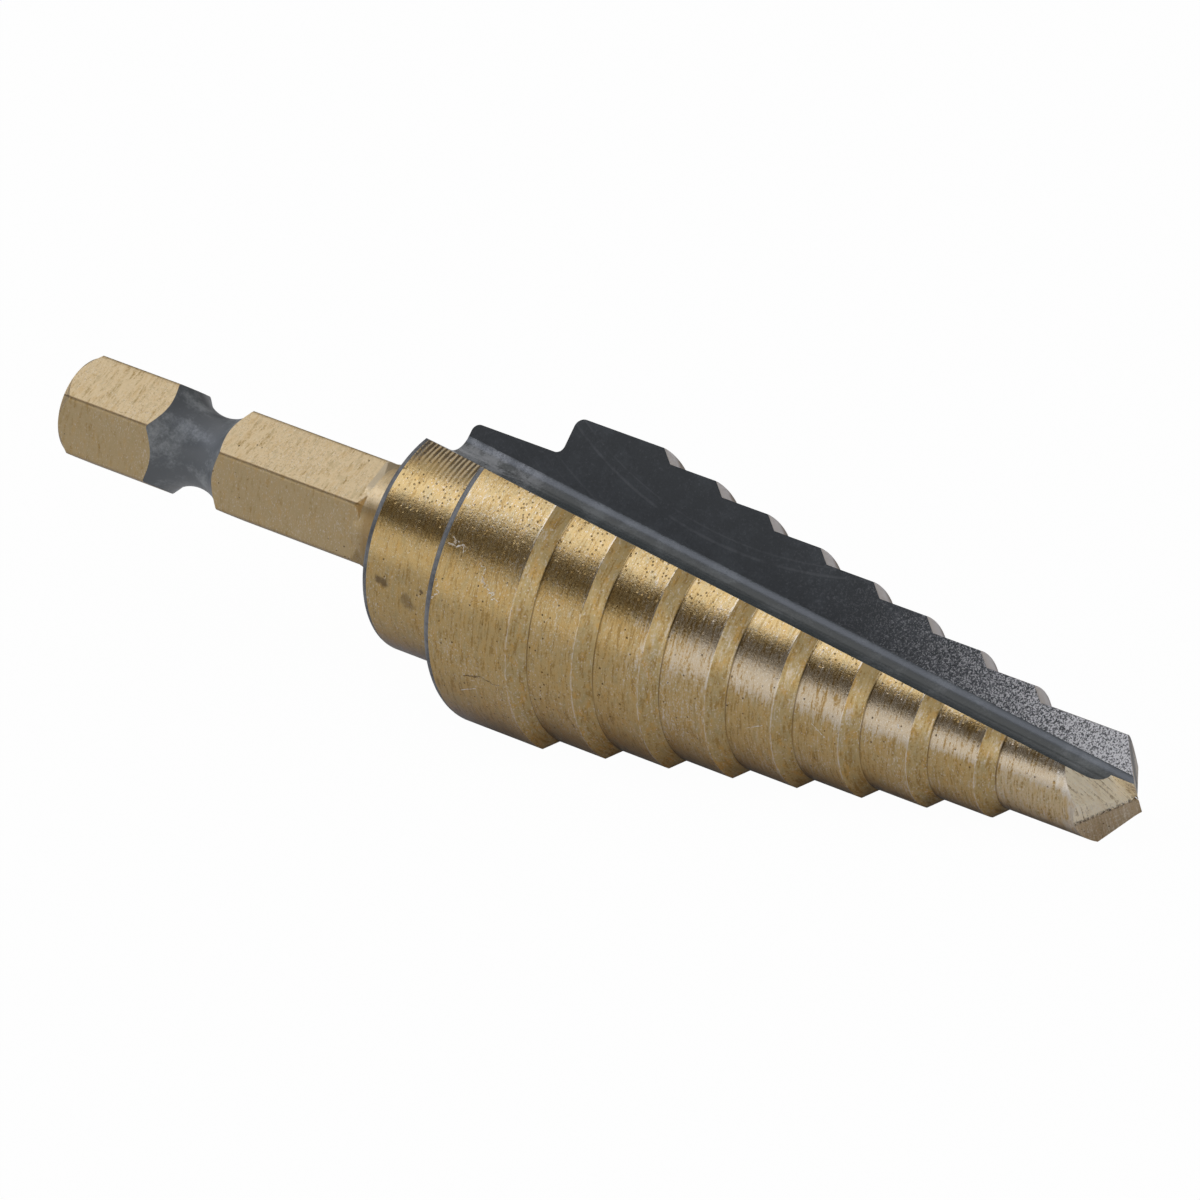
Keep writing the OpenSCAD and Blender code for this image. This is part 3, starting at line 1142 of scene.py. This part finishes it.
@dataclass(frozen=True)
class Gold:
    """The gold-coloured nitride coat, over turned, drawn or ground steel."""

    finish: Finish
    colour: Colour = (0.59, 0.42, 0.185)
    brown: Colour = (0.42, 0.27, 0.095)
    orange: Colour = (0.60, 0.375, 0.12)
    olive: Colour = (0.49, 0.38, 0.19)
    pale: Colour = (0.72, 0.62, 0.49)
    silver: Colour = (0.92, 0.89, 0.82)
    grazing: tuple[float, float, float, float] = (0.50, 0.55, 0.70, 1.0)
    roughness: float = 0.20
    least_rough: float = 0.12
    lay: Lay = Lay.TURNED
    across: float = 6.5
    along: float = 0.9
    grain: float = 1.0
    mottle: float = 0.6
    flecks: float = 0.5
    relief: float = 0.016
    wear: float = 0.2
    front_wear_and_sheen: float = 0.0
    pits: float = 0.4
    pepper: float = 0.0
    ridges: float = 0.0
    step_edges: bool = False
    lip_wear_and_sheen: float = 0.0
    # Pale, as the bevels keep it: partly bare edge, partly a painted reflection on the far slivers.
    lip_colour: Colour = (0.92, 0.87, 0.84)
    hex_end: float = 0.0
    ground_edge_and_lit_pilot: bool = False
    chisel_chips_and_lit_facets: bool = False
    scratches: tuple[Mark, ...] = ()
    stains: tuple[Mark, ...] = ()

    def dress(self, g: Graph, tool: ToolSpace) -> dict[str, Value]:
        """Works out the coat, layer upon layer, with the kinds of wear, and of painted light and shade, that
        this finish has.

        Args:
            g: the material's nodes.
            tool: the drill's coordinates in it.

        Returns:
            The shader's inputs.
        """
        coat = Coat(g, tool, self)
        layers = ((True, coat.zones), (True, coat.weather), (self.pits, coat.pit),
                  (self.step_edges, coat.wear_light_and_shade_steps), (self.lip_wear_and_sheen, coat.bare_lip_and_sheen),
                  (self.hex_end, coat.dress_shank), (True, coat.raise_relief), (self.ridges, coat.ridge),
                  (True, coat.mark), (self.ground_edge_and_lit_pilot, coat.chip_point),
                  (self.chisel_chips_and_lit_facets, coat.chip_chisel))
        for wanted, layer in layers:
            if wanted:
                layer()
        return {"Base Color": coat.colour, "Metallic": coat.metal, "Normal": coat.normal,
                "Roughness": coat.rough.math("MAXIMUM", self.least_rough), "Specular Tint": self.grazing}


@dataclass(frozen=True)
class Black:
    """The black oxide of the flutes, the ball groove and the thin bands."""

    finish: Finish
    colour: Colour = (0.032, 0.034, 0.036)
    grey: Colour = (0.075, 0.085, 0.092)
    streak: Colour = (0.085, 0.09, 0.094)
    # Pale colour of the painted highlight at the flute root's rear end.
    rubbed_and_sheen: Colour = (0.42, 0.43, 0.44)
    dust: Colour = (0.20, 0.20, 0.21)
    bare: Colour = (0.80, 0.79, 0.80)
    roughness: float = 0.42
    specular: float = 0.5
    relief: float = 0.004
    patches: float = 0.3
    streaks: bool = False
    streak_centre: tuple[float, float] = (34.0, 47.0)
    speckle: bool = False
    speckle_start: float = 48.0
    speckle_len: float = 28.0
    rear_highlight: float = 0.0

    def dress(self, g: Graph, tool: ToolSpace) -> dict[str, Value]:
        """Works out the oxide: soft grey patches, curved grinding streaks, bare speckle by the point, and a
        painted highlight at the flute root's rear end.

        The streaks are noise over the distance from one far centre, so that they run in arcs round it.

        Args:
            g: the material's nodes.
            tool: the drill's coordinates in it.

        Returns:
            The shader's inputs.
        """
        plain = tool.plain()
        soft = g.noise(plain, 0.5, 3.0, 0.6)
        fine = g.noise(plain, 6.0, 2.0, 0.7)
        patchy = (soft + (fine - 0.5) * 0.35).rise(0.66 - self.patches, 0.98 - self.patches)
        colour = g.mix(self.colour, self.grey, patchy)
        height = fine
        if self.streaks:
            side = tool.y - self.streak_centre[0]
            ahead = tool.z - self.streak_centre[1]
            arc = (side * side + ahead * ahead).math("SQRT")
            line = g.noise(g.join(arc * 3.2, soft * 0.3, 0.0), 1.0, 2.0, 0.6)
            colour = g.mix(colour, self.streak, line.rise(0.56, 0.76) * soft.rise(0.35, 0.6) * 0.8)
            height = height + line * 0.6
        # A painted highlight: pale patches at the flute root's rear end, by the collar.
        if self.rear_highlight:
            rear = tool.z.rise(self.rear_highlight + 1.5, self.rear_highlight - 2.5)
            colour = g.mix(colour, self.rubbed_and_sheen, rear * (soft + fine * 0.4).rise(0.58, 0.82) * 0.6)
        rough = self.roughness + (fine - 0.5) * 0.12
        if self.speckle:
            near = ((tool.z - self.speckle_start) / self.speckle_len).math("MAXIMUM", 0.0)
            grit = g.noise(plain, 10.0, 3.0, 0.7)
            grain = (grit + near * 0.19).rise(0.62, 0.68)
            dust = (fine + near * 0.25).rise(0.55, 0.80)
            colour = g.mix(colour, self.dust, dust * near.rise(-0.3, 0.5) * 0.5)
            colour = g.mix(colour, self.bare, grain * near.rise(0.1, 0.95))
        return {"Base Color": colour, "Roughness": rough, "Normal": g.bump(height, self.relief),
                "Specular IOR Level": self.specular}


@dataclass
class Finishes:
    """All the drill's finishes, and the marks that lie on them."""

    rest: Rest
    sizes: Sizes

    def scratches(self) -> tuple[Mark, ...]:
        """The pale scratches on the largest land, with a few short ones further on."""
        return (Mark((1.5, 33.4), (-2.0, 34.4), 0.045, 0.7), Mark((-1.0, 33.2), (0.0, 34.6), 0.035, 0.7),
                Mark((-3.0, 35.9), (-11.0, 36.5), 0.04, 0.8), Mark((-9.0, 36.2), (-14.0, 37.6), 0.045, 0.9),
                Mark((-14.5, 33.1), (-19.0, 33.5), 0.045, 0.8), Mark((-19.0, 33.4), (-21.5, 33.1), 0.04, 0.7),
                Mark((-33.0, 58.5), (-27.0, 57.6), 0.025, 0.3),
                Mark((-40.0, 53.6), (-35.0, 54.7), 0.022, 0.3),
                Mark((-14.0, 63.0), (-10.0, 62.8), 0.04, 0.4), Mark((-56.0, 35.0), (-52.0, 36.2), 0.025, 0.3))

    def cracks(self) -> tuple[Mark, ...]:
        """The dark hairline marks on the largest land."""
        return (Mark((-47.0, 35.6), (-45.5, 36.7), 0.04, 0.7), Mark((-45.5, 36.8), (-46.5, 38.0), 0.04, 0.7))

    def stains(self) -> tuple[Mark, ...]:
        """The dark stains on the collar."""
        return (Mark((-30.0, 27.5), (-30.5, 28.0), 0.26, 0.4, 0.7),
                Mark((-35.0, 29.5), (-38.0, 29.8), 0.30, 0.6, 0.5),
                Mark((-28.0, 30.6), (-28.6, 30.7), 0.09, 0.1))

    def gold(self) -> list[Gold]:
        """The gold finishes: lands, bevels, shank, collar and point."""
        s = self.sizes
        return [
            Gold(Finish.LAND, roughness=0.235, wear=0.14, front_wear_and_sheen=0.52, grain=1.5, relief=0.02,
                 flecks=0.45, pits=0.44, pepper=0.7, step_edges=True, ground_edge_and_lit_pilot=True, lip_wear_and_sheen=s.pilot_z,
                 lip_colour=(0.30, 0.29, 0.28), scratches=self.scratches(), stains=self.cracks()),
            # The bevels' pale far-lip tint is partly bare edge and partly a painted reflection.
            Gold(Finish.BEVEL, roughness=0.34, colour=(0.56, 0.42, 0.20), wear=0.08, front_wear_and_sheen=0.18,
                 grain=1.9, relief=0.022, flecks=0.4, mottle=0.9, pits=0.0, lip_wear_and_sheen=s.body_z),
            Gold(Finish.SHANK, roughness=0.42, colour=(0.56, 0.425, 0.235), wear=0.22, grain=0.8, across=4.2,
                 relief=0.02, flecks=0.3, mottle=0.3, pits=0.34, hex_end=s.shank_len - s.neck_len),
            Gold(Finish.COLLAR, roughness=0.225, wear=0.14, grain=1.2, flecks=0.42, pits=0.47, pepper=0.7,
                 ridges=s.shank_len, stains=self.stains()),
            Gold(Finish.POINT, roughness=0.5, colour=(0.60, 0.47, 0.31), brown=(0.46, 0.35, 0.22),
                 pale=(0.94, 0.88, 0.78), lay=Lay.GROUND, across=8.5, along=0.4, wear=0.35, grain=1.2,
                 relief=0.01, mottle=0.2, pits=0.3, chisel_chips_and_lit_facets=True, lip_wear_and_sheen=s.pilot_z,
                 lip_colour=(0.24, 0.23, 0.22)),
        ]

    def black(self) -> list[Black]:
        """The black finishes: cutting faces, flute roots, ball groove and thin bands."""
        return [
            Black(Finish.FACE, colour=(0.029, 0.033, 0.034), grey=(0.046, 0.052, 0.055), patches=0.28,
                  streaks=True, speckle=True),
            # The root's rear end carries a painted highlight.
            Black(Finish.ROOT, colour=(0.058, 0.068, 0.070), grey=(0.14, 0.155, 0.158), patches=0.2,
                  roughness=0.22, specular=0.9, rear_highlight=self.sizes.body_z),
            Black(Finish.GROOVE, colour=(0.13, 0.142, 0.152), grey=(0.32, 0.34, 0.35), patches=0.2,
                  roughness=0.38),
            Black(Finish.BAND, colour=(0.055, 0.060, 0.068), grey=(0.19, 0.195, 0.20), patches=0.3),
        ]

    def apply(self) -> None:
        """Writes each finish into the material of its name."""
        for finish in (*self.gold(), *self.black()):
            material = bpy.data.materials[finish.finish.name]
            material.use_nodes = True
            graph = Graph(material.node_tree)
            shader = material.node_tree.nodes["Principled BSDF"]
            for name, value in finish.dress(graph, ToolSpace(graph, self.rest, self.sizes)).items():
                if isinstance(value, Expr):
                    material.node_tree.links.new(value.socket, shader.inputs[name])
                else:
                    shader.inputs[name].default_value = value
            LOG.info("finish: %s", finish.finish.name.lower())


def aimed(x: Array, y: Array, z: Array, place: Array) -> list[list[float]]:
    """The matrix that turns an object's axes to x, y and z and puts it at a place, one column to a row."""
    matrix = np.eye(4)
    matrix[:3] = np.stack([x, y, z, place], -1)
    return matrix.T.tolist()


@dataclass(frozen=True)
class Softbox:
    """A large soft lamp that faces the drill.

    Its turn is the angle about the drill from straight up, towards the far side, and its arc is the angle
    about the drill that it spans. Length is its size along the drill, away its distance, and shift moves it
    along the drill. Along is the share of its direction that lies along the axis: the camera's own, unless
    one is given.
    """

    name: str
    turn: float
    arc: float
    length: float
    level: float
    colour: Colour = (1.0, 1.0, 1.0)
    away: float = 1.2
    along: float | None = None
    shift: float = 0.0

    def hang(self, axis: Array, view_along: float) -> bpy.types.Object:
        """Hangs the lamp: its direction has a share along the axis, and turns about the axis for the rest.

        Args:
            axis: the drill's axis.
            view_along: the axis's share of the direction that the camera looks along.

        Returns:
            The lamp.
        """
        share = view_along if self.along is None else self.along
        across = math.sqrt(1 - share ** 2)
        up = np.array([-axis[2] * axis[0], 0.0, 1 - axis[2] ** 2])
        up /= np.linalg.norm(up)
        side = np.array([0.0, 1.0, 0.0])
        phi = math.radians(self.turn)
        way = share * axis + across * (math.cos(phi) * up + math.sin(phi) * side)
        width = across * math.radians(self.arc) * self.away
        lamp = bpy.data.lights.new(self.name, "AREA")
        lamp.shape, lamp.size, lamp.size_y = "RECTANGLE", self.length, width
        lamp.energy = self.level * math.pi * self.length * width
        lamp.color = self.colour
        obj = bpy.data.objects.new(self.name, lamp)
        along = axis - (axis @ way) * way
        along /= np.linalg.norm(along)
        obj.matrix_world = aimed(along, np.cross(way, along), way, way * self.away + axis * self.shift)
        bpy.context.collection.objects.link(obj)
        return obj


@dataclass
class Studio:
    """The camera, the soft lamps, the pale floor and the world, in metres."""

    rest: Rest
    position: tuple[float, float, float] = (0.329736, -0.425415, 0.219007)
    right: tuple[float, float, float] = (0.80293, 0.593352, -0.0569)
    up: tuple[float, float, float] = (-0.17504, 0.325957, 0.929039)
    lens: float = 295.99
    softboxes: tuple[Softbox, ...] = (
        Softbox("side", turn=-25.0, arc=90.0, length=1.3, level=0.435, along=0.80),
        Softbox("side_low", turn=-77.0, arc=26.0, length=1.3, level=1.45, along=0.80),
        Softbox("key", turn=-20.0, arc=28.0, length=3.0, level=1.35, colour=(0.94, 1.0, 1.18)),
        Softbox("sky", turn=14.0, arc=38.0, length=2.4, level=0.55),
        Softbox("rim", turn=50.0, arc=20.0, length=1.8, level=0.6),
        Softbox("front", turn=-92.0, arc=43.0, length=4.0, level=0.71, shift=0.5),
    )
    sensor: float = 36.0
    far_clip: float = 50.0
    world_level: float = 0.09
    world_colour: Colour = (1.0, 0.88, 0.72)
    floor_size: float = 8.0
    floor_grey: float = 0.88
    white: float = 0.98
    white_in_gloss: float = 0.05

    def camera(self) -> None:
        """Sets up the camera as the photograph was taken."""
        data = bpy.data.cameras.new("camera")
        data.lens, data.sensor_width, data.clip_end = self.lens, self.sensor, self.far_clip
        obj = bpy.data.objects.new("camera", data)
        right, up = np.array(self.right), np.array(self.up)
        obj.matrix_world = aimed(right, up, np.cross(right, up), np.array(self.position))
        bpy.context.collection.objects.link(obj)
        bpy.context.scene.camera = obj

    def seen(self, g: Graph) -> Expr:
        """How much of the white a ray sees: most straight from the camera, less in gloss or glass."""
        paths = [g.add("LightPath", {}, {}, name)
                 for name in ("Is Camera Ray", "Is Glossy Ray", "Is Transmission Ray")]
        gloss = paths[1].math("MAXIMUM", paths[2]) * self.white_in_gloss
        return (paths[0] * self.white).math("MAXIMUM", gloss)

    def floor(self) -> None:
        """Lays the floor: pale and matt to light, mixed with white to the eye, so the shadow stays."""
        half = self.floor_size / 2
        corners = [(-half, -half, 0), (half, -half, 0), (half, half, 0), (-half, half, 0)]
        mesh = bpy.data.meshes.new("floor")
        mesh.from_pydata(corners, [], [(0, 1, 2, 3)])
        obj = bpy.data.objects.new("floor", mesh)
        bpy.context.collection.objects.link(obj)
        material = bpy.data.materials.new("floor")
        material.use_nodes = True
        nodes = material.node_tree.nodes
        nodes.remove(nodes["Principled BSDF"])
        g = Graph(material.node_tree)
        matt = g.add("BsdfDiffuse", {}, {"Color": (*[self.floor_grey] * 3, 1.0)})
        white = g.add("Emission", {}, {"Color": (1.0, 1.0, 1.0, 1.0), "Strength": 1.0})
        mixed = g.add("MixShader", {}, {0: self.seen(g), 1: matt, 2: white})
        material.node_tree.links.new(mixed.socket, nodes["Material Output"].inputs["Surface"])
        mesh.materials.append(material)

    def world(self) -> None:
        """Makes the world dim and warm to light and white to the eye."""
        world = bpy.data.worlds.new("studio")
        world.use_nodes = True
        nodes = world.node_tree.nodes
        g = Graph(world.node_tree)
        dim = g.add("Background", {}, {"Color": (*self.world_colour, 1.0), "Strength": self.world_level})
        white = g.add("Background", {}, {"Color": (1.0, 1.0, 1.0, 1.0), "Strength": 1.0})
        eye = g.add("LightPath", {}, {}, "Is Camera Ray")
        mixed = g.add("MixShader", {}, {0: eye, 1: dim, 2: white})
        world.node_tree.links.new(mixed.socket, nodes["World Output"].inputs["Surface"])
        bpy.context.scene.world = world

    def build(self) -> None:
        """Sets up the whole studio."""
        self.camera()
        axis = self.rest.axes()[2]
        look = -np.cross(self.right, self.up)
        for softbox in self.softboxes:
            softbox.hang(axis, float(axis @ look))
            LOG.info("lamp: %s", softbox.name)
        self.floor()
        self.world()
        bpy.context.scene.view_settings.view_transform = "Standard"


def main() -> None:
    """Builds the drill, its finishes and the studio."""
    logging.basicConfig(level=logging.INFO, format="%(message)s")
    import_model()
    sizes = Sizes()
    rest = Rest.of(sizes)
    Studio(rest).build()
    drill = StepDrill(sizes, rest).build()
    Finishes(rest, sizes).apply()
    LOG.info("drill: %d points, %d faces", len(drill.data.vertices), len(drill.data.polygons))
    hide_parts("step_drill")
    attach(drill, "root")


if __name__ == "__main__":
    main()
